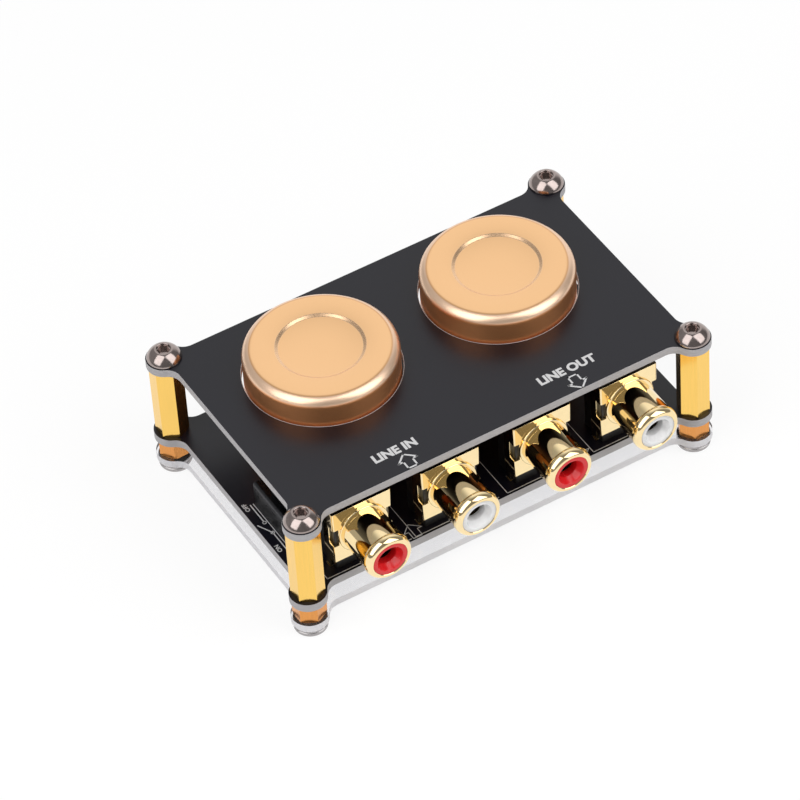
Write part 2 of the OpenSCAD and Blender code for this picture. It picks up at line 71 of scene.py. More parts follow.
# A white table stands in a white studio, and keeps a soft shadow. The room is dim in front, behind the two
# tall softboxes on both sides of the camera, and grey on the left, which shows in the shiny pieces.
ROOM_LIGHT = 0.22
ROOM_WHITE = 1.0
DIM_FRONT = 0.24
DIM_FROM = 0.0
WHITE_FROM = 0.5
GREY_LEFT = 0.4
GREY_LEFT_OF = -0.25
WHITE_RIGHT_OF = 0.25
TABLE_SIZE = 6.0
TABLE_DROP = 0.01 * MM
TABLE_BOUNCE = (0.8, 0.8, 0.8, 1)
TABLE_SHADED = (0.15, 0.15, 0.15, 1)
TABLE_GLOW = 0.87
SOFTBOX_WIDE = 0.7
SOFTBOX_TALL = 1.04
SOFTBOX_DISTANCE = 0.9
SOFTBOX_ELEVATION = math.radians(45)
SOFTBOX_RADIANCE = 2.2
SOFTBOXES = {"softbox_left": math.radians(-78), "softbox_right": math.radians(37)}


def seen_ray(tree, *rays):
    """A value of 1 for the named kinds of ray, and 0 for all others."""
    path = tree.nodes.new("ShaderNodeLightPath")
    seen = path.outputs[rays[0]]
    for ray in rays[1:]:
        either = tree.nodes.new("ShaderNodeMath")
        either.operation = "MAXIMUM"
        tree.links.new(seen, either.inputs[0])
        tree.links.new(path.outputs[ray], either.inputs[1])
        seen = either.outputs[0]
    return seen


room = bpy.data.worlds.new("white_room")
room.use_nodes = True
bpy.context.scene.world = room
tree = room.node_tree
place = tree.nodes.new("ShaderNodeTexCoord")
along = tree.nodes.new("ShaderNodeSeparateXYZ")
reflected = tree.nodes.new("ShaderNodeMapRange")
reflected.interpolation_type = "SMOOTHSTEP"
reflected.inputs["From Min"].default_value = DIM_FROM
reflected.inputs["From Max"].default_value = WHITE_FROM
reflected.inputs["To Min"].default_value = DIM_FRONT
sideways = tree.nodes.new("ShaderNodeMapRange")
sideways.interpolation_type = "SMOOTHSTEP"
sideways.inputs["From Min"].default_value = GREY_LEFT_OF
sideways.inputs["From Max"].default_value = WHITE_RIGHT_OF
sideways.inputs["To Min"].default_value = GREY_LEFT
lighting = tree.nodes.new("ShaderNodeMix")
lighting.inputs["A"].default_value = ROOM_LIGHT
strength = tree.nodes.new("ShaderNodeMix")
strength.inputs["B"].default_value = ROOM_WHITE
tree.links.new(place.outputs["Generated"], along.inputs["Vector"])
tree.links.new(along.outputs["Y"], reflected.inputs["Value"])
tree.links.new(along.outputs["X"], sideways.inputs["Value"])
tree.links.new(sideways.outputs["Result"], reflected.inputs["To Max"])
tree.links.new(seen_ray(tree, "Is Glossy Ray"), lighting.inputs["Factor"])
tree.links.new(reflected.outputs["Result"], lighting.inputs["B"])
tree.links.new(seen_ray(tree, "Is Camera Ray", "Is Transmission Ray"), strength.inputs["Factor"])
tree.links.new(lighting.outputs["Result"], strength.inputs["A"])
tree.nodes["Background"].inputs["Color"].default_value = (1, 1, 1, 1)
tree.links.new(strength.outputs["Result"], tree.nodes["Background"].inputs["Strength"])

bpy.ops.object.select_all(action="DESELECT")
bpy.ops.mesh.primitive_plane_add(size=TABLE_SIZE, location=(0, 0, -TABLE_DROP))
table = bpy.context.object
table.name = "table"
table_paint = bpy.data.materials.new("white_table")
table_paint.use_nodes = True
tree = table_paint.node_tree
tree.nodes.remove(tree.nodes["Principled BSDF"])
bounce = tree.nodes.new("ShaderNodeBsdfDiffuse")
bounce.inputs["Color"].default_value = TABLE_BOUNCE
shaded = tree.nodes.new("ShaderNodeBsdfDiffuse")
shaded.inputs["Color"].default_value = TABLE_SHADED
glow = tree.nodes.new("ShaderNodeEmission")
glow.inputs["Strength"].default_value = TABLE_GLOW
lit = tree.nodes.new("ShaderNodeAddShader")
choose = tree.nodes.new("ShaderNodeMixShader")
tree.links.new(shaded.outputs[0], lit.inputs[0])
tree.links.new(glow.outputs[0], lit.inputs[1])
background_ray = seen_ray(tree, "Is Camera Ray", "Is Glossy Ray", "Is Transmission Ray")
tree.links.new(background_ray, choose.inputs["Fac"])
tree.links.new(bounce.outputs[0], choose.inputs[1])
tree.links.new(lit.outputs[0], choose.inputs[2])
tree.links.new(choose.outputs[0], tree.nodes["Material Output"].inputs["Surface"])
table.data.materials.append(table_paint)

for name, azimuth in SOFTBOXES.items():
    softbox_data = bpy.data.lights.new(name, "AREA")
    softbox_data.shape = "RECTANGLE"
    softbox_data.size = SOFTBOX_WIDE
    softbox_data.size_y = SOFTBOX_TALL
    softbox_data.energy = math.pi * SOFTBOX_WIDE * SOFTBOX_TALL * SOFTBOX_RADIANCE
    softbox = bpy.data.objects.new(name, softbox_data)
    towards = Vector((
        math.sin(azimuth) * math.cos(SOFTBOX_ELEVATION),
        -math.cos(azimuth) * math.cos(SOFTBOX_ELEVATION),
        math.sin(SOFTBOX_ELEVATION),
    ))
    softbox.location = towards * SOFTBOX_DISTANCE
    softbox.rotation_euler = (-towards).to_track_quat("-Z", "Y").to_euler()
    bpy.context.scene.collection.objects.link(softbox)

# The base plate is clear acrylic, 1.5 mm thick, cut to the outline of the boards by laser. Its faces
# are polished and its cut edges are a little frosted. The four foot screws hold it from below.
ACRYLIC = (0.97, 0.965, 0.98)
FROSTED = (0.91, 0.9, 0.93)
ACRYLIC_IOR = 1.49
CUT_EDGE_BREAK = 0.06 * MM
EDGE_SEGMENTS = 2
SMOOTH_BELOW = math.radians(30)
FLAT_WITHIN = math.radians(1)
CAD_MERGE = 0.002 * MM
FACE_UPRIGHT = 0.9
GRAIN_DETAIL = 4
GRAIN_DARK_AT = 0.3
GRAIN_PALE_AT = 0.7
GRAIN_HEIGHT = 0.02 * MM


def finish(name, colour, rough, metallic=0.0, grain=0.1, stretch=(1, 1, 1), shade=0.1, bump=0.1):
    """A finish with fine noise in its colour, its roughness and its surface; grain is its size in mm."""
    made = bpy.data.materials.new(name)
    made.use_nodes = True
    tree = made.node_tree
    shader = tree.nodes["Principled BSDF"]
    shader.inputs["Metallic"].default_value = metallic
    place = tree.nodes.new("ShaderNodeTexCoord")
    mapping = tree.nodes.new("ShaderNodeMapping")
    mapping.inputs["Scale"].default_value = stretch
    noise = tree.nodes.new("ShaderNodeTexNoise")
    noise.inputs["Scale"].default_value = 1 / (grain * MM)
    noise.inputs["Detail"].default_value = GRAIN_DETAIL
    ramp = tree.nodes.new("ShaderNodeValToRGB")
    ramp.color_ramp.elements[0].position = GRAIN_DARK_AT
    ramp.color_ramp.elements[0].color = [c * (1 - shade) for c in colour] + [1]
    ramp.color_ramp.elements[1].position = GRAIN_PALE_AT
    ramp.color_ramp.elements[1].color = list(colour) + [1]
    gloss = tree.nodes.new("ShaderNodeMapRange")
    gloss.inputs["From Min"].default_value = GRAIN_DARK_AT
    gloss.inputs["From Max"].default_value = GRAIN_PALE_AT
    gloss.inputs["To Min"].default_value = rough[0]
    gloss.inputs["To Max"].default_value = rough[1]
    relief = tree.nodes.new("ShaderNodeBump")
    relief.inputs["Strength"].default_value = bump
    relief.inputs["Distance"].default_value = GRAIN_HEIGHT
    tree.links.new(place.outputs["Object"], mapping.inputs["Vector"])
    tree.links.new(mapping.outputs["Vector"], noise.inputs["Vector"])
    tree.links.new(noise.outputs["Fac"], ramp.inputs["Fac"])
    tree.links.new(ramp.outputs["Color"], shader.inputs["Base Color"])
    tree.links.new(noise.outputs["Fac"], gloss.inputs["Value"])
    tree.links.new(gloss.outputs["Result"], shader.inputs["Roughness"])
    tree.links.new(noise.outputs["Fac"], relief.inputs["Height"])
    tree.links.new(relief.outputs["Normal"], shader.inputs["Normal"])
    return made


def set_shader(made, **values):
    """Sets plain values on the shader of a finish, for example IOR."""
    for socket, value in values.items():
        made.node_tree.nodes["Principled BSDF"].inputs[socket.replace("_", " ")].default_value = value


def pick(piece):
    """Makes a piece the only selected object, and the active one."""
    bpy.ops.object.select_all(action="DESELECT")
    piece.select_set(True)
    bpy.context.view_layer.objects.active = piece


def break_edges(piece, width):
    """Rounds a piece's sharp edges with a bevel and shades the rest smooth."""
    pick(piece)
    edge = piece.modifiers.new("broken_edges", "BEVEL")
    edge.width = width
    edge.segments = EDGE_SEGMENTS
    edge.limit_method = "ANGLE"
    edge.angle_limit = SMOOTH_BELOW
    bpy.ops.object.modifier_apply(modifier=edge.name)
    bpy.ops.object.shade_smooth_by_angle(angle=SMOOTH_BELOW)
    even = piece.modifiers.new("even_shading", "WEIGHTED_NORMAL")
    even.weight = 100
    even.keep_sharp = True
    bpy.ops.object.modifier_apply(modifier=even.name)


def cut_from(node, name):
    """A copy of a CAD solid, with its triangles merged and joined into whole faces."""
    piece = bpy.data.objects.new(name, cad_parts[node].data.copy())
    bpy.context.scene.collection.objects.link(piece)
    piece.data.materials.clear()
    pick(piece)
    bpy.ops.mesh.customdata_custom_splitnormals_clear()
    bpy.ops.object.mode_set(mode="EDIT")
    bpy.ops.mesh.select_all(action="SELECT")
    bpy.ops.mesh.remove_doubles(threshold=CAD_MERGE)
    bpy.ops.mesh.dissolve_limited(angle_limit=FLAT_WITHIN)
    bpy.ops.object.mode_set(mode="OBJECT")
    return piece


def face_and_edge(piece, face, edge):
    """Gives a plate's flat faces one finish and its cut edges another."""
    piece.data.materials.append(face)
    piece.data.materials.append(edge)
    for side in piece.data.polygons:
        side.material_index = 0 if abs(side.normal.z) > FACE_UPRIGHT else 1


def fit(piece, slot, *nodes, body="stack"):
    """Rides a piece on its body and hides the CAD nodes it stands for; its slot is not used."""
    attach(piece, body)
    if nodes:
        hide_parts(*nodes)


polished_acrylic = finish("polished_acrylic", ACRYLIC, (0.0, 0.03), grain=20, shade=0.01, bump=0.0)
set_shader(polished_acrylic, Transmission_Weight=0.95, IOR=ACRYLIC_IOR)
frosted_acrylic = finish(
    "frosted_acrylic", FROSTED, (0.4, 0.6),
    grain=0.4, stretch=(4, 4, 1), shade=0.1, bump=0.2,
)
set_shader(frosted_acrylic, Transmission_Weight=0.1, IOR=ACRYLIC_IOR)

base_plate = cut_from("base_plate", "base_plate_clear")
break_edges(base_plate, CUT_EDGE_BREAK)
face_and_edge(base_plate, polished_acrylic, frosted_acrylic)
fit(base_plate, "clear_acrylic", "base_plate")

# The four foot screws are M3 pan heads turned from nickel-plated steel, with a cross recess. They go up
# through the base plate, the spacers and the board into the brass columns, and their heads are the feet.
CORNERS = ("front_left", "front_right", "back_right", "back_left")
FOOT_R = 2.9
FOOT_H = 1.6
FOOT_EDGE_R = 0.4
FOOT_SEAM = 0.08
SHANK_R = 1.5
TIP_R = 0.3
THREAD_PITCH = 0.5
THREAD_DEPTH = 0.2
FOOT_SHANK = 10.0
CROSS_LEN = 3.0
CROSS_W = 0.6
CROSS_DEPTH = 0.7
FOOT_NICKEL = (0.44, 0.42, 0.42)
RING_MERGE = 0.001 * MM
UP = 1
DOWN = -1


def arc(radius, height, bend, start, end, steps=8):
    """Points of an arc in a turned profile, about a centre at (radius, height), with angles in degrees."""
    turns = [math.radians(start + (end - start) * i / steps) for i in range(steps + 1)]
    return [(radius + bend * math.cos(t), height + bend * math.sin(t)) for t in turns]


def turned(name, profile, sides=96):
    """A piece turned about Z: a circle is drawn along a profile of (radius, height) points in mm."""
    bpy.ops.object.select_all(action="DESELECT")
    radius, height = profile[0]
    bpy.ops.mesh.primitive_circle_add(vertices=sides, radius=radius * MM, location=(0, 0, height * MM))
    piece = bpy.context.object
    piece.name = name
    bpy.ops.object.transform_apply()
    bpy.ops.object.mode_set(mode="EDIT")
    bpy.ops.mesh.select_mode(type="VERT")
    bpy.ops.mesh.select_all(action="SELECT")
    for next_radius, next_height in profile[1:]:
        rise = (0, 0, (next_height - height) * MM)
        bpy.ops.mesh.extrude_edges_move(TRANSFORM_OT_translate={"value": rise})
        spread = next_radius / radius
        bpy.ops.transform.resize(value=(spread, spread, 1))
        radius, height = next_radius, next_height
    bpy.ops.mesh.select_all(action="SELECT")
    bpy.ops.mesh.remove_doubles(threshold=RING_MERGE)
    bpy.ops.mesh.fill_holes(sides=0)
    bpy.ops.mesh.select_all(action="SELECT")
    bpy.ops.mesh.normals_make_consistent(inside=False)
    bpy.ops.object.mode_set(mode="OBJECT")
    bpy.ops.object.shade_smooth_by_angle(angle=SMOOTH_BELOW)
    return piece


def thread(start, length, way):
    """The profile of a screw thread that goes up or down from a height."""
    rings = int(length / THREAD_PITCH) - 1
    points = []
    for ring in range(rings):
        crest = start + way * THREAD_PITCH * ring
        points.append((SHANK_R, crest))
        points.append((SHANK_R - THREAD_DEPTH, crest + way * THREAD_PITCH / 2))
    end = start + way * length
    points.append((SHANK_R, end - way * THREAD_PITCH))
    points.append((SHANK_R - THREAD_PITCH, end))
    return points


def cut_away(piece, cutter):
    """Cuts one shape out of a piece and takes the cutter away."""
    pick(piece)
    cut = piece.modifiers.new("cut", "BOOLEAN")
    cut.operation = "DIFFERENCE"
    cut.solver = "EXACT"
    cut.object = cutter
    bpy.ops.object.modifier_apply(modifier=cut.name)
    bpy.data.objects.remove(cutter)


def move(piece, offset):
    """Moves a piece's mesh, so that its object stays at the origin."""
    pick(piece)
    piece.location = offset
    bpy.ops.object.transform_apply()


def copy_of(piece, name):
    """A copy of a finished piece with a mesh of its own."""
    twin = bpy.data.objects.new(name, piece.data.copy())
    bpy.context.scene.collection.objects.link(twin)
    return twin


def middle_of(node):
    """The centre of a CAD node's box."""
    low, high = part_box(node)
    return (low + high) / 2


def box_at(centre, size):
    """A box of a given size in mm, with its centre at a point in mm."""
    bpy.ops.object.select_all(action="DESELECT")
    bpy.ops.mesh.primitive_cube_add(size=1, location=Vector(centre) * MM, scale=Vector(size) * MM)
    bpy.ops.object.transform_apply()
    return bpy.context.object


foot_nickel = finish(
    "foot_nickel", FOOT_NICKEL, (0.2, 0.34), metallic=1.0,
    grain=0.5, stretch=(1, 1, 6), shade=0.2, bump=0.05,
)
foot_profile = [(TIP_R, 0)]
foot_profile += arc(FOOT_R - FOOT_EDGE_R, FOOT_EDGE_R, FOOT_EDGE_R, -90, 0)
foot_profile += [
    (FOOT_R, FOOT_H / 2),
    (FOOT_R - FOOT_SEAM, FOOT_H / 2 + FOOT_SEAM),
    (FOOT_R - FOOT_SEAM, FOOT_H / 2 + 2 * FOOT_SEAM),
    (FOOT_R, FOOT_H / 2 + 3 * FOOT_SEAM),
    (FOOT_R, FOOT_H - FOOT_SEAM),
    (FOOT_R - FOOT_SEAM, FOOT_H),
    (SHANK_R, FOOT_H),
]
foot_profile += thread(FOOT_H + THREAD_PITCH / 2, FOOT_SHANK - THREAD_PITCH / 2, UP)
foot = turned("foot_screw", foot_profile)
for slot_size in ((CROSS_LEN, CROSS_W), (CROSS_W, CROSS_LEN)):
    cut_away(foot, box_at((0, 0, 0), (*slot_size, 2 * CROSS_DEPTH)))
foot.data.materials.append(foot_nickel)
for corner in CORNERS:
    spot = middle_of("foot_screw_" + corner)
    screw = copy_of(foot, "foot_screw_turned_" + corner)
    move(screw, (spot.x, spot.y, 0))
    fit(screw, "dark_nickel", "foot_screw_" + corner)
bpy.data.objects.remove(foot)

# The four spacers are short hexagonal brass pieces that lift the board off the base plate. They are cut
# from drawn bar, with the corners chamfered on both ends. Their brass is more orange than the columns', and
# darker with painted shade, as they stand in the shade between the boards.
SPACER_BRASS_AND_SHADE = (0.8, 0.34, 0.095)
BAR_EDGE_BREAK = 0.08 * MM
DRAWN = (1, 1, 0.04)

orange_brass_painted_shade = finish(
    "orange_brass_painted_shade", SPACER_BRASS_AND_SHADE, (0.16, 0.26), metallic=1.0,
    grain=0.25, stretch=DRAWN, shade=0.12, bump=0.04,
)
for corner in CORNERS:
    spacer = cut_from("spacer_" + corner, "spacer_brass_" + corner)
    break_edges(spacer, BAR_EDGE_BREAK)
    spacer.data.materials.append(orange_brass_painted_shade)
    fit(spacer, "turned_brass", "spacer_" + corner)

# The main board is a black circuit board, 1.6 mm thick, with bare grey cut edges. It carries the jacks,
# the transformers and the switch, and white print shows where they go.
MASK = (0.0042, 0.004, 0.0095)
MASK_IOR = 1.45
BARE_LAMINATE = (0.5, 0.485, 0.495)
BOARD_EDGE_BREAK = 0.05 * MM
INK = (0.75, 0.75, 0.76)
INK_T = 0.015
BORDER_LEFT = 7.5
BORDER_SETBACK = 0.5
BORDER_LONG = 10.0
BORDER_WIDE = 16.0
THIN_LINE = 0.13
ARROW_HALF = 1.7
ARROW_SHAFT_HALF = 0.84
ARROW_LEN = 3.2
ARROW_HEAD = 1.55
IN_ARROW = (-16.3, -16.63)
OUT_ARROW = (16.1, -20.03)
SYMBOL_X = -35.7
SYMBOL_BACK = 1.7
SYMBOL_FRONT = -10.6
SYMBOL_PIVOT = -5.7
SYMBOL_CONTACT = -3.0
SYMBOL_RING = 0.3
SYMBOL_SWING = 1.3
SYMBOL_LINE = 0.2
SWITCH_LINE_X = -35.15
SWITCH_MARKS = {"OFF": (-36.55, 1.58), "ON": (-36.7, -9.32)}
SWITCH_MARK_CAP = 0.75
SWITCH_MARK_BOLD = 0.03
SWITCH_MARK_TURN = 90
TO_BACK = 1
TO_FRONT = -1
CAP_SHARE = 0.69
JACKS = ("input_red", "input_white", "output_red", "output_white")

black_mask = finish("black_mask", MASK, (0.3, 0.37), grain=0.6, shade=0.2, bump=0.02)
set_shader(black_mask, IOR=MASK_IOR)
cut_laminate = finish(
    "cut_laminate", BARE_LAMINATE, (0.45, 0.65),
    grain=0.5, stretch=(0.4, 0.4, 5), shade=0.25, bump=0.2,
)
white_ink = finish("white_ink", INK, (0.4, 0.55), grain=0.15, shade=0.15, bump=0.1)

board = cut_from("main_board", "main_board_black")
break_edges(board, BOARD_EDGE_BREAK)
face_and_edge(board, black_mask, cut_laminate)
fit(board, "black_laminate", "main_board")


def print_line(start, end, width, height):
    """A printed line between two points on a board, at a height, as one thin strip."""
    run = Vector(end) - Vector(start)
    middle = (Vector(start) + Vector(end)) / 2
    strip = box_at((0, 0, 0), (run.length + width, width, INK_T))
    pick(strip)
    strip.rotation_euler = (0, 0, math.atan2(run.y, run.x))
    strip.location = Vector((middle.x, middle.y, height + INK_T / 2)) * MM
    bpy.ops.object.transform_apply()
    return strip


def print_path(points, width, height):
    """Printed lines from each point to the next."""
    return [print_line(points[i], points[i + 1], width, height) for i in range(len(points) - 1)]


def print_ring(centre, radius, width, height, sides=32):
    """A printed circle line."""
    ring = turned("ring", [
        (radius - width / 2, 0),
        (radius + width / 2, 0),
        (radius + width / 2, INK_T),
        (radius - width / 2, INK_T),
        (radius - width / 2, 0),
    ], sides=sides)
    move(ring, Vector((*centre, height)) * MM)
    return ring


def print_arrow(x, tip_y, towards, height, width):
    """An outlined arrow along Y, with its tip at a point, pointing to the back or to the front."""
    barb_y = tip_y - towards * ARROW_HEAD
    tail_y = tip_y - towards * ARROW_LEN
    return print_path([
        (x, tip_y),
        (x + ARROW_HALF, barb_y),
        (x + ARROW_SHAFT_HALF, barb_y),
        (x + ARROW_SHAFT_HALF, tail_y),
        (x - ARROW_SHAFT_HALF, tail_y),
        (x - ARROW_SHAFT_HALF, barb_y),
        (x - ARROW_HALF, barb_y),
        (x, tip_y),
    ], width, height)


def print_word(word, centre, cap, height, turn=0.0, bold=0.0):
    """A printed word, centred at a point, with a given height of its capitals in mm."""
    bpy.ops.object.select_all(action="DESELECT")
    bpy.ops.object.text_add()
    words = bpy.context.object
    words.data.body = word
    words.data.align_x = "CENTER"
    words.data.align_y = "CENTER"
    words.data.size = cap / CAP_SHARE * MM
    words.data.offset = bold * MM
    words.data.extrude = INK_T / 2 * MM
    words.data.resolution_u = 4
    bpy.ops.object.convert(target="MESH")
    words.rotation_euler = (0, 0, math.radians(turn))
    words.location = Vector((*centre, height + INK_T / 2)) * MM
    bpy.ops.object.transform_apply()
    return words


def join(pieces, name):
    """Joins pieces into one."""
    pick(pieces[0])
    for piece in pieces:
        piece.select_set(True)
    if len(pieces) > 1:
        bpy.ops.object.join()
    whole = bpy.context.object
    whole.name = name
    return whole


def printed(name, marks):
    """Joins printed marks into one piece in white ink."""
    layer = join(marks, name)
    layer.data.materials.clear()
    layer.data.materials.append(white_ink)
    fit(layer, "white_plastic")


board_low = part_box("main_board")[0].z / MM
board_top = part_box("main_board")[1].z / MM
border_front = middle_of("spacer_front_left").y / MM + BORDER_SETBACK
marks = []
for jack in JACKS:
    left = middle_of("jack_barrel_" + jack).x / MM - BORDER_LEFT
    marks += print_path([
        (left, border_front + BORDER_LONG),
        (left, border_front),
        (left + BORDER_WIDE, border_front),
    ], THIN_LINE, board_top)
marks += print_arrow(*IN_ARROW, TO_BACK, board_top, THIN_LINE)
marks += print_arrow(*OUT_ARROW, TO_FRONT, board_top, THIN_LINE)
printed("board_print_jacks", marks)

contact_end = (SYMBOL_X, SYMBOL_CONTACT + SYMBOL_RING)
pivot_end = (SYMBOL_X, SYMBOL_PIVOT - SYMBOL_RING)
lever_tip = (SYMBOL_X - SYMBOL_SWING, SYMBOL_CONTACT)
marks = [
    print_line((SYMBOL_X, SYMBOL_BACK), contact_end, SYMBOL_LINE, board_top),
    print_line(pivot_end, (SYMBOL_X, SYMBOL_FRONT), SYMBOL_LINE, board_top),
    print_ring((SYMBOL_X, SYMBOL_CONTACT), SYMBOL_RING, THIN_LINE, board_top),
    print_ring((SYMBOL_X, SYMBOL_PIVOT), SYMBOL_RING, THIN_LINE, board_top),
    print_line((SYMBOL_X, SYMBOL_PIVOT), lever_tip, SYMBOL_LINE, board_top),
    print_line((SWITCH_LINE_X, SYMBOL_BACK), (SWITCH_LINE_X, SYMBOL_FRONT), THIN_LINE, board_top),
]
printed("board_print_switch", marks)
for word, spot in SWITCH_MARKS.items():
    word_mark = print_word(word, spot, SWITCH_MARK_CAP, board_top, SWITCH_MARK_TURN, SWITCH_MARK_BOLD)
    printed("board_print_" + word.lower(), [word_mark])

# Solder joins every lead to the board from below, where it shows through the clear base plate. Each
# joint is a small shiny cone on a tinned pad.
SOLDER = (0.72, 0.72, 0.74)
PAD_T = 0.05
PAD_RIM = 0.55
PAD_BEVEL = 0.1
CONE_H = 0.85
CONE_SPREAD = 0.22
CONE_SKIN = 0.08
LEAD_REACH = 2.2
LEAD_SHOWS = 0.05
JOINT_SEGMENTS = 32
CAN_SIDES = ("left", "right")

solder = finish("solder", SOLDER, (0.12, 0.3), metallic=1.0, grain=0.8, shade=0.12, bump=0.08)


def leads_below(node):
    """Where a node's leads come out under the board, each as a centre and a half width in mm."""
    corners = [v.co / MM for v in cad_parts[node].data.vertices]
    groups = []
    for point in corners:
        if point.z > board_low - LEAD_SHOWS:
            continue
        near = [group for group in groups if (group[0] - point).xy.length < LEAD_REACH]
        if near:
            near[0].append(point)
        else:
            groups.append([point])
    leads = []
    for group in groups:
        low = Vector((min(p.x for p in group), min(p.y for p in group)))
        high = Vector((max(p.x for p in group), max(p.y for p in group)))
        leads.append(((low + high) / 2, max(high - low) / 2))
    return leads


with_leads = ["switch_shell", "switch_terminals"]
with_leads += ["jack_contact_" + jack for jack in JACKS]
with_leads += ["jack_flange_" + jack for jack in JACKS]
with_leads += ["transformer_pins_" + side for side in CAN_SIDES]
with_leads += ["transformer_can_" + side for side in CAN_SIDES]
for node in with_leads:
    joints = []
    for spot, half in leads_below(node):
        pad_r = half + PAD_RIM
        joint = turned("joint", [
            (TIP_R, board_low),
            (pad_r, board_low),
            (pad_r, board_low - PAD_T),
            (pad_r - PAD_BEVEL, board_low - PAD_T),
            (half + CONE_SPREAD, board_low - CONE_H / 3),
            (half + CONE_SKIN, board_low - CONE_H),
            (TIP_R, board_low - CONE_H),
        ], sides=JOINT_SEGMENTS)
        move(joint, Vector((spot.x, spot.y, 0)) * MM)
        joints.append(joint)
    fillets = join(joints, "solder_" + node)
    fillets.data.materials.append(solder)
    fit(fillets, "tinned_metal")

# Each phono jack starts as a flange of thin brass sheet with its two sides bent back as legs and a window
# cut in each bend. It is stamped, plated with bright gold and soldered to the board by the legs.
GOLD = (0.99, 0.79, 0.45)
FLANGE_RISE = 2.0
SHEET_BEND = 0.35 * MM
SHEET_BEND_SEGMENTS = 4
SHEET_EDGE_BREAK = 0.05 * MM
CLOSE = 0.01 * MM

bright_gold = finish("bright_gold", GOLD, (0.03, 0.08), metallic=1.0, grain=1.5, shade=0.04, bump=0.01)
first_flange = cut_from("jack_flange_" + JACKS[0], "jack_flange_stamped_" + JACKS[0])
low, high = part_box("jack_flange_" + JACKS[0])
flange_low = (board_top + FLANGE_RISE) * MM
pick(first_flange)
bpy.ops.object.mode_set(mode="EDIT")
bpy.ops.mesh.select_mode(type="EDGE")
bpy.ops.mesh.select_all(action="DESELECT")
bpy.ops.object.mode_set(mode="OBJECT")
for edge in first_flange.data.edges:
    ends = [first_flange.data.vertices[v].co for v in edge.vertices]
    in_front = max(end.y for end in ends) - low.y < CLOSE
    at_left = max(end.x for end in ends) - low.x < CLOSE
    at_right = high.x - min(end.x for end in ends) < CLOSE
    at_bottom = max(end.z for end in ends) - flange_low < CLOSE
    edge.select = in_front and (at_left or at_right or at_bottom)
bpy.ops.object.mode_set(mode="EDIT")
bpy.ops.mesh.bevel(offset=SHEET_BEND, segments=SHEET_BEND_SEGMENTS, affect="EDGES")
bpy.ops.object.mode_set(mode="OBJECT")
break_edges(first_flange, SHEET_EDGE_BREAK)
first_flange.data.materials.append(bright_gold)
first_spot = middle_of("jack_flange_" + JACKS[0])
fit(first_flange, "gold_plate", "jack_flange_" + JACKS[0])
for jack in JACKS[1:]:
    flange = copy_of(first_flange, "jack_flange_stamped_" + jack)
    move(flange, middle_of("jack_flange_" + jack) - first_spot)
    fit(flange, "gold_plate", "jack_flange_" + jack)

# The barrel of each jack is turned brass with the same bright gold plate. A thin collar sits on the flange,
# and the mouth ends in a low bead with a long round front.
BARREL_R = 4.1
BARREL_BORE_R = 3.2
BARREL_LEN = 8.8
SPIGOT_R = 3.8
SPIGOT_LEN = 1.6
COLLAR_R = 4.65
COLLAR_T = 0.45
LIP_SWELL = 0.18
LIP_FLANK = 0.5
LIP_NOSE = 1.25
LIP_FALL = 0.8
LIP_STEPS = 10
BORE_BREAK = 0.08
BARREL_SEGMENTS = 128


def lay_along(piece, jack):
    """Turns a piece made along Z to point to the front, with its foot on the jack's flange."""
    axis = middle_of("jack_barrel_" + jack)
    pick(piece)
    piece.rotation_euler = (math.radians(90), 0, 0)
    piece.location = (axis.x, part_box("jack_flange_" + jack)[0].y, axis.z)
    bpy.ops.object.transform_apply()


barrel_profile = [(BARREL_BORE_R, -SPIGOT_LEN), (SPIGOT_R, -SPIGOT_LEN), (SPIGOT_R, 0), (COLLAR_R, 0)]
barrel_profile += arc(COLLAR_R - COLLAR_T / 2, COLLAR_T / 2, COLLAR_T / 2, 0, 90)
barrel_profile.append((BARREL_R, COLLAR_T))
for step in range(LIP_STEPS):
    swell = LIP_SWELL * (1 - math.cos(math.pi * step / LIP_STEPS)) / 2
    barrel_profile.append((BARREL_R + swell, BARREL_LEN - LIP_NOSE - LIP_FLANK * (1 - step / LIP_STEPS)))
for step in range(LIP_STEPS + 1):
    lean = math.radians(90) * step / LIP_STEPS
    fall = LIP_FALL * (1 - math.cos(lean))
    barrel_profile.append((BARREL_R + LIP_SWELL - fall, BARREL_LEN - LIP_NOSE * (1 - math.sin(lean))))
barrel_profile += [
    (BARREL_BORE_R + BORE_BREAK, BARREL_LEN),
    (BARREL_BORE_R, BARREL_LEN - BORE_BREAK),
    (BARREL_BORE_R, -SPIGOT_LEN),
]
barrel = turned("jack_barrel", barrel_profile, sides=BARREL_SEGMENTS)
barrel.data.materials.append(bright_gold)
for jack in JACKS:
    tube = copy_of(barrel, "jack_barrel_turned_" + jack)
    lay_along(tube, jack)
    fit(tube, "gold_plate", "jack_barrel_" + jack)
bpy.data.objects.remove(barrel)

# The insulator is a moulded plug of gloss plastic, red or white, pressed into the barrel. Its face has a
# round funnel that guides the pin of a cable to the centre contact, which sits behind a narrow throat.
INSULATOR_R = 3.18
INSULATOR_FACE = 8.72
FUNNEL_R = 2.35
FUNNEL_DEPTH = 1.2
THROAT_R = 1.75
THROAT_LEN = 1.3
SLEEVE_ROOM_R = 2.02
MOULD_R = 0.2
MOULD_END = 172
RIM_BREAK = 0.06
JACK_RED = (0.8, 0.016, 0.02)
JACK_WHITE = (0.95, 0.945, 0.94)
GLOW_DEPTH = 1.2 * MM

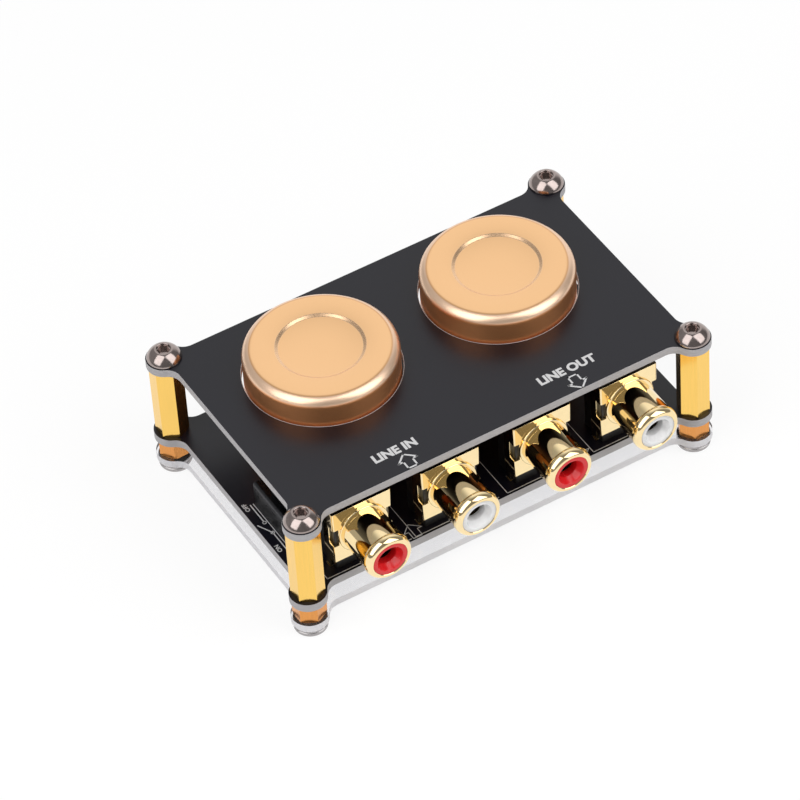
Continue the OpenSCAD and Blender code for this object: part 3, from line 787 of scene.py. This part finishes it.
red_plastic = finish("red_plastic", JACK_RED, (0.18, 0.28), grain=0.8, shade=0.12, bump=0.04)
white_plastic = finish("white_plastic", JACK_WHITE, (0.18, 0.28), grain=0.8, shade=0.06, bump=0.04)
set_shader(white_plastic, Subsurface_Weight=0.7, Subsurface_Radius=(1, 1, 1), Subsurface_Scale=GLOW_DEPTH)
throat_end = INSULATOR_FACE - FUNNEL_DEPTH - THROAT_LEN
insulator_profile = [(SLEEVE_ROOM_R, -SPIGOT_LEN), (INSULATOR_R, -SPIGOT_LEN)]
insulator_profile += arc(INSULATOR_R - RIM_BREAK, INSULATOR_FACE - RIM_BREAK, RIM_BREAK, 0, 90, 3)
insulator_profile += arc(FUNNEL_R + MOULD_R, INSULATOR_FACE - MOULD_R, MOULD_R, 90, MOULD_END, 5)
insulator_profile += [(THROAT_R, INSULATOR_FACE - FUNNEL_DEPTH), (THROAT_R, throat_end)]
insulator_profile += [(SLEEVE_ROOM_R, throat_end), (SLEEVE_ROOM_R, -SPIGOT_LEN)]
insulator = turned("jack_insulator", insulator_profile)
for jack in JACKS:
    colour_slot = "red_plastic" if jack.endswith("red") else "white_plastic"
    plug = copy_of(insulator, "jack_insulator_moulded_" + jack)
    lay_along(plug, jack)
    plug.data.materials.append(red_plastic if jack.endswith("red") else white_plastic)
    fit(plug, colour_slot, "jack_insulator_" + jack)
bpy.data.objects.remove(insulator)

# Behind each flange a black moulded body holds the rear of the insulator and the centre contact, which is
# a rolled sleeve of spring metal with a flat tail down to the board.
BLACK_MOULDING = (0.012, 0.012, 0.013)
MOULDING_EDGE = 0.25 * MM
TIN = (0.78, 0.77, 0.75)
# The centre contact is coloured dark as painted shade, so that the throat of the insulator looks dark
CONTACT_SHADE = (0.12, 0.09, 0.06)
STRIP_EDGE = 0.03 * MM

black_moulding = finish("black_moulding", BLACK_MOULDING, (0.35, 0.5), grain=0.25, shade=0.3, bump=0.25)
tinned_spring = finish("tinned_spring", TIN, (0.2, 0.35), metallic=1.0, grain=0.6, shade=0.15, bump=0.05)
contact_painted_shade = finish("contact_painted_shade", CONTACT_SHADE, (0.3, 0.45), metallic=1.0, grain=0.6, shade=0.3, bump=0.05)
for jack in JACKS:
    body = cut_from("jack_body_" + jack, "jack_body_moulded_" + jack)
    break_edges(body, MOULDING_EDGE)
    body.data.materials.append(black_moulding)
    fit(body, "black_moulding", "jack_body_" + jack)
    contact = cut_from("jack_contact_" + jack, "jack_contact_rolled_" + jack)
    break_edges(contact, STRIP_EDGE)
    contact.data.materials.append(contact_painted_shade)
    fit(contact, "gold_plate", "jack_contact_" + jack)

# The slide switch has a folded shell of dark steel over a terminal base of brown phenolic board. The
# black slider with its grooved knob carries a bridge contact, and three terminals go through the board.
SHELL_EDGE = 0.12 * MM
SHELL_STEEL = (0.055, 0.055, 0.06)
SLIDER_EDGE = 0.1 * MM
PHENOLIC = (0.2, 0.09, 0.035)
PHENOLIC_EDGE = 0.05 * MM

dark_shell = finish("dark_shell", SHELL_STEEL, (0.25, 0.4), metallic=1.0, grain=0.5, shade=0.2, bump=0.06)
phenolic = finish("phenolic", PHENOLIC, (0.4, 0.6), grain=0.4, stretch=(1, 1, 6), shade=0.3, bump=0.2)
shell = cut_from("switch_shell", "switch_shell_folded")
break_edges(shell, SHELL_EDGE)
shell.data.materials.append(dark_shell)
fit(shell, "tinned_metal", "switch_shell")
terminal_board = cut_from("switch_base", "switch_base_sawn")
break_edges(terminal_board, PHENOLIC_EDGE)
terminal_board.data.materials.append(phenolic)
fit(terminal_board, "phenolic", "switch_base")
terminals = cut_from("switch_terminals", "switch_terminals_cut")
break_edges(terminals, STRIP_EDGE)
terminals.data.materials.append(tinned_spring)
fit(terminals, "tinned_metal", "switch_terminals")
slider = cut_from("switch_slider", "switch_slider_moulded")
break_edges(slider, SLIDER_EDGE)
slider.data.materials.append(black_moulding)
fit(slider, "black_moulding", "switch_slider", body="slider")
bridge = cut_from("switch_bridge", "switch_bridge_bent")
break_edges(bridge, STRIP_EDGE)
bridge.data.materials.append(tinned_spring)
fit(bridge, "gold_plate", "switch_bridge", body="slider")

# Inside each can a toroidal core of wound metal strip carries two copper windings. It sits on a moulded
# disc, under a foam pad, and four pins take the ends of the windings to the board.
CORE_STRIP = (0.3, 0.3, 0.31)
COPPER = (0.85, 0.33, 0.14)
FOAM = (0.03, 0.03, 0.032)
STRIP_T = 0.1
WIRE_D = 0.3

core_strip = finish(
    "core_strip", CORE_STRIP, (0.3, 0.5), metallic=1.0,
    grain=STRIP_T, stretch=(1, 1, 0.05), shade=0.4, bump=0.3,
)
enamelled_copper = finish(
    "enamelled_copper", COPPER, (0.2, 0.35), metallic=1.0,
    grain=WIRE_D, stretch=(1, 1, 0.1), shade=0.35, bump=0.4,
)
foam = finish("foam", FOAM, (0.8, 0.95), grain=0.3, shade=0.6, bump=0.8)
inside = {
    "transformer_base_": black_moulding,
    "transformer_core_": core_strip,
    "primary_winding_": enamelled_copper,
    "secondary_winding_": enamelled_copper,
    "foam_pad_": foam,
    "transformer_pins_": tinned_spring,
}
for part, made in inside.items():
    for side in CAN_SIDES:
        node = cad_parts[part + side]
        node.data.materials.clear()
        node.data.materials.append(made)

# The two shield cans are cups drawn from sheet metal, blasted and given a gold finish. Into that gold is
# painted light: shade that makes the wall deeper and darker, a pale painted highlight on the wide round
# edge, a thin painted shade line where the edge meets the top, and painted shade on the slope of the
# shallow recess in each top. Each can has tabs that are soldered to the board.
CAN_R = 13.15
CAN_WALL = 0.5
CAN_EDGE_R = 1.8
CAN_RIM_BREAK = 0.1
RECESS_R = 7.5
RECESS_DEPTH = 0.35
RECESS_SLOPE = 0.35
RECESS_BLEND = 0.12
RECESS_MIDDLE_R = 1.0
CAN_SEGMENTS = 160
CAN_GOLD = (1.0, 0.615, 0.314)
# Painted light: highlight on the round edge, shade on the wall, on the recess slope and in a thin line
CAN_EDGE_HIGHLIGHT = (0.97, 0.68, 0.48)
CAN_WALL_SHADE = (0.98, 0.42, 0.17)
CAN_STEP_SHADE = (0.9, 0.6, 0.37)
CAN_EDGE_SHADE_LINE = (0.76, 0.42, 0.2)
# Painted shade and highlight up the round edge, from the wall at 0 to the flat top at 1
CAN_PAINTED_LIGHT = (
    (0.2, CAN_WALL_SHADE),
    (0.42, CAN_EDGE_HIGHLIGHT),
    (0.92, CAN_EDGE_HIGHLIGHT),
    (0.965, CAN_EDGE_SHADE_LINE),
    (0.993, CAN_GOLD),
)
TAB_ANGLES = (90, 210, 330)
TAB_W = 2.0
TAB_EDGE = 0.05 * MM

can_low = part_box("transformer_can_left")[0].z / MM
can_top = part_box("transformer_can_left")[1].z / MM
blasted = {"grain": 0.08, "shade": 0.05, "bump": 0.05}
# The outer gold is white here and gets its colour and its painted light from the height ramp below
blasted_gold_painted_light = finish("blasted_gold_painted_light", (1, 1, 1), (0.3, 0.36), metallic=0.85, **blasted)
floor_gold = finish("floor_gold", CAN_GOLD, (0.3, 0.36), metallic=0.85, **blasted)
# The recess slope's darker gold is painted shade
shaded_gold = finish("shaded_gold", CAN_STEP_SHADE, (0.24, 0.3), metallic=1.0, **blasted)
tree = blasted_gold_painted_light.node_tree
place = tree.nodes.new("ShaderNodeTexCoord")
upwards = tree.nodes.new("ShaderNodeSeparateXYZ")
round_edge = tree.nodes.new("ShaderNodeMapRange")
round_edge.inputs["From Min"].default_value = (can_top - CAN_EDGE_R) * MM
round_edge.inputs["From Max"].default_value = can_top * MM
painted_light = tree.nodes.new("ShaderNodeValToRGB")
for stop, tone in CAN_PAINTED_LIGHT:
    painted_light.color_ramp.elements.new(stop).color = (*tone, 1)
painted_light.color_ramp.elements[0].color = (*CAN_PAINTED_LIGHT[0][1], 1)
painted_light.color_ramp.elements[-1].color = (*CAN_PAINTED_LIGHT[-1][1], 1)
tinted = tree.nodes.new("ShaderNodeMix")
tinted.data_type = "RGBA"
tinted.blend_type = "MULTIPLY"
tinted.inputs["Factor"].default_value = 1.0
shader = tree.nodes["Principled BSDF"]
tree.links.new(shader.inputs["Base Color"].links[0].from_socket, tinted.inputs["A"])
tree.links.new(place.outputs["Object"], upwards.inputs["Vector"])
tree.links.new(upwards.outputs["Z"], round_edge.inputs["Value"])
tree.links.new(round_edge.outputs["Result"], painted_light.inputs["Fac"])
tree.links.new(painted_light.outputs["Color"], tinted.inputs["B"])
tree.links.new(tinted.outputs["Result"], shader.inputs["Base Color"])
floor_r = RECESS_R - RECESS_SLOPE
recess_floor = can_top - RECESS_DEPTH
inner_top = can_top - CAN_WALL
can_profile = [
    (RECESS_MIDDLE_R, recess_floor),
    (floor_r - RECESS_BLEND, recess_floor),
    (floor_r, recess_floor + RECESS_BLEND / 3),
    (RECESS_R, can_top - RECESS_BLEND / 3),
    (RECESS_R + RECESS_BLEND, can_top),
]
can_profile += arc(CAN_R - CAN_EDGE_R, can_top - CAN_EDGE_R, CAN_EDGE_R, 90, 0, 14)
can_profile += [
    (CAN_R, board_top + CAN_RIM_BREAK),
    (CAN_R - CAN_RIM_BREAK, board_top),
    (CAN_R - CAN_WALL, board_top),
]
can_profile += arc(CAN_R - CAN_EDGE_R, can_top - CAN_EDGE_R, CAN_EDGE_R - CAN_WALL, 0, 90, 6)
can_profile += [
    (RECESS_R + CAN_WALL / 2, inner_top),
    (floor_r + CAN_WALL / 2, inner_top - RECESS_DEPTH),
    (RECESS_MIDDLE_R, inner_top - RECESS_DEPTH),
]
can_pieces = [turned("can_cup", can_profile, sides=CAN_SEGMENTS)]
tab_top = board_top + CAN_WALL
for angle in TAB_ANGLES:
    tab = box_at((CAN_R - CAN_WALL / 2, 0, (can_low + tab_top) / 2), (CAN_WALL, TAB_W, tab_top - can_low))
    break_edges(tab, TAB_EDGE)
    tab.rotation_euler = (0, 0, math.radians(angle))
    bpy.ops.object.transform_apply()
    can_pieces.append(tab)
can = join(can_pieces, "transformer_can")
can.data.materials.clear()
for made in (blasted_gold_painted_light, shaded_gold, floor_gold):
    can.data.materials.append(made)
outside, recess_step, recess_bottom = range(3)
for face in can.data.polygons:
    reach = face.center.xy.length / MM
    face.material_index = outside
    if reach < RECESS_R + RECESS_BLEND:
        face.material_index = recess_step if reach > floor_r - RECESS_BLEND else recess_bottom
for side in CAN_SIDES:
    spot = middle_of("foam_pad_" + side)
    cup = copy_of(can, "transformer_can_drawn_" + side)
    move(cup, (spot.x, spot.y, 0))
    fit(cup, "can_gold", "transformer_can_" + side)
bpy.data.objects.remove(can)

# The four columns are hexagonal brass standoffs, 15 mm long, cut from bright drawn bar and tapped M3 at
# both ends. The foot screws and the top screws clamp them between the boards.
COLUMN_BRASS = (0.99, 0.63, 0.16)

bright_brass = finish(
    "bright_brass", COLUMN_BRASS, (0.14, 0.2), metallic=1.0,
    grain=0.25, stretch=DRAWN, shade=0.05, bump=0.02,
)
for corner in CORNERS:
    column = cut_from("standoff_" + corner, "standoff_brass_" + corner)
    break_edges(column, BAR_EDGE_BREAK)
    column.data.materials.append(bright_brass)
    fit(column, "turned_brass", "standoff_" + corner)

# The top plate is another black circuit board of the same outline, with bare cut edges and two round holes
# for the cans. White words and arrows on it show which jacks are the inputs and which the outputs.
WORD_CAP = 1.7
WORD_BOLD = 0.11
ARROW_LINE = 0.3
CAN_HOLE_R = 13.45
BARE_RIM = 0.1
IN_WORD = (-17.0, -15.18)
OUT_WORD = (16.1, -15.13)

plate = cut_from("top_plate", "top_plate_black")
break_edges(plate, 2 * BOARD_EDGE_BREAK)
face_and_edge(plate, black_mask, cut_laminate)
fit(plate, "black_laminate", "top_plate")
plate_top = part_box("top_plate")[1].z / MM
for side in CAN_SIDES:
    spot = middle_of("foam_pad_" + side) / MM
    rim = print_ring((spot.x, spot.y), CAN_HOLE_R + BARE_RIM / 2, BARE_RIM, plate_top, sides=CAN_SEGMENTS)
    rim.name = "top_plate_hole_rim_" + side
    rim.data.materials.append(cut_laminate)
    fit(rim, "black_laminate")
printed("top_print_in_word", [print_word("LINE IN", IN_WORD, WORD_CAP, plate_top, bold=WORD_BOLD)])
printed("top_print_out_word", [print_word("LINE OUT", OUT_WORD, WORD_CAP, plate_top, bold=WORD_BOLD)])
printed("top_print_in_arrow", print_arrow(*IN_ARROW, TO_BACK, plate_top, ARROW_LINE))
printed("top_print_out_arrow", print_arrow(*OUT_ARROW, TO_FRONT, plate_top, ARROW_LINE))

# Four M3 button-head screws in polished dark nickel hold the top plate on the columns. Each head is a low
# dome with a hexagon socket, whose mouth is round with a soft edge.
HEAD_R = 3.0
HEAD_H = 1.9
HEAD_RIM = 0.25
HEAD_BREAK = 0.1
HEAD_FLAT_R = 1.5
DOME_STEPS = 12
SOCKET_AF = 2.0
SOCKET_DEPTH = 1.05
MOUTH_R = 1.2
MOUTH_DEPTH = 0.3
MOUTH_EDGE = 0.15
TOP_SHANK = 6.0
DARK_NICKEL = (0.4, 0.335, 0.315)

dark_nickel = finish(
    "dark_nickel", DARK_NICKEL, (0.13, 0.18), metallic=1.0, grain=0.6, shade=0.15, bump=0.02
)
# The dome is an arc about a point on the screw's axis, from the rim up to the flat round the socket
dome_h = HEAD_H - HEAD_RIM
dome_low = (HEAD_FLAT_R ** 2 + dome_h ** 2 - HEAD_R ** 2) / (2 * dome_h)
dome_r = math.hypot(HEAD_R, dome_low)
dome_start = math.degrees(math.atan2(-dome_low, HEAD_R))
dome_end = math.degrees(math.acos(HEAD_FLAT_R / dome_r))
head_profile = [(TIP_R, -TOP_SHANK)]
head_profile += thread(-THREAD_PITCH / 2, TOP_SHANK - THREAD_PITCH / 2, DOWN)[::-1]
head_profile += [(SHANK_R, 0), (HEAD_R - HEAD_BREAK, 0), (HEAD_R, HEAD_BREAK)]
head_profile += arc(0, HEAD_RIM + dome_low, dome_r, dome_start, dome_end, DOME_STEPS)
head_profile += arc(MOUTH_R + MOUTH_EDGE, HEAD_H - MOUTH_EDGE, MOUTH_EDGE, 90, 180, 5)
head_profile += [(MOUTH_R, HEAD_H - MOUTH_DEPTH), (TIP_R, HEAD_H - MOUTH_DEPTH)]
head = turned("top_screw", head_profile)
bpy.ops.object.select_all(action="DESELECT")
bpy.ops.mesh.primitive_cylinder_add(
    vertices=6,
    radius=SOCKET_AF / math.sqrt(3) * MM,
    depth=2 * SOCKET_DEPTH * MM,
    location=(0, 0, HEAD_H * MM),
)
cut_away(head, bpy.context.object)
head.data.materials.append(dark_nickel)
for corner in CORNERS:
    spot = middle_of("top_screw_" + corner)
    screw = copy_of(head, "top_screw_turned_" + corner)
    move(screw, (spot.x, spot.y, plate_top * MM))
    fit(screw, "dark_nickel", "top_screw_" + corner)
bpy.data.objects.remove(head)
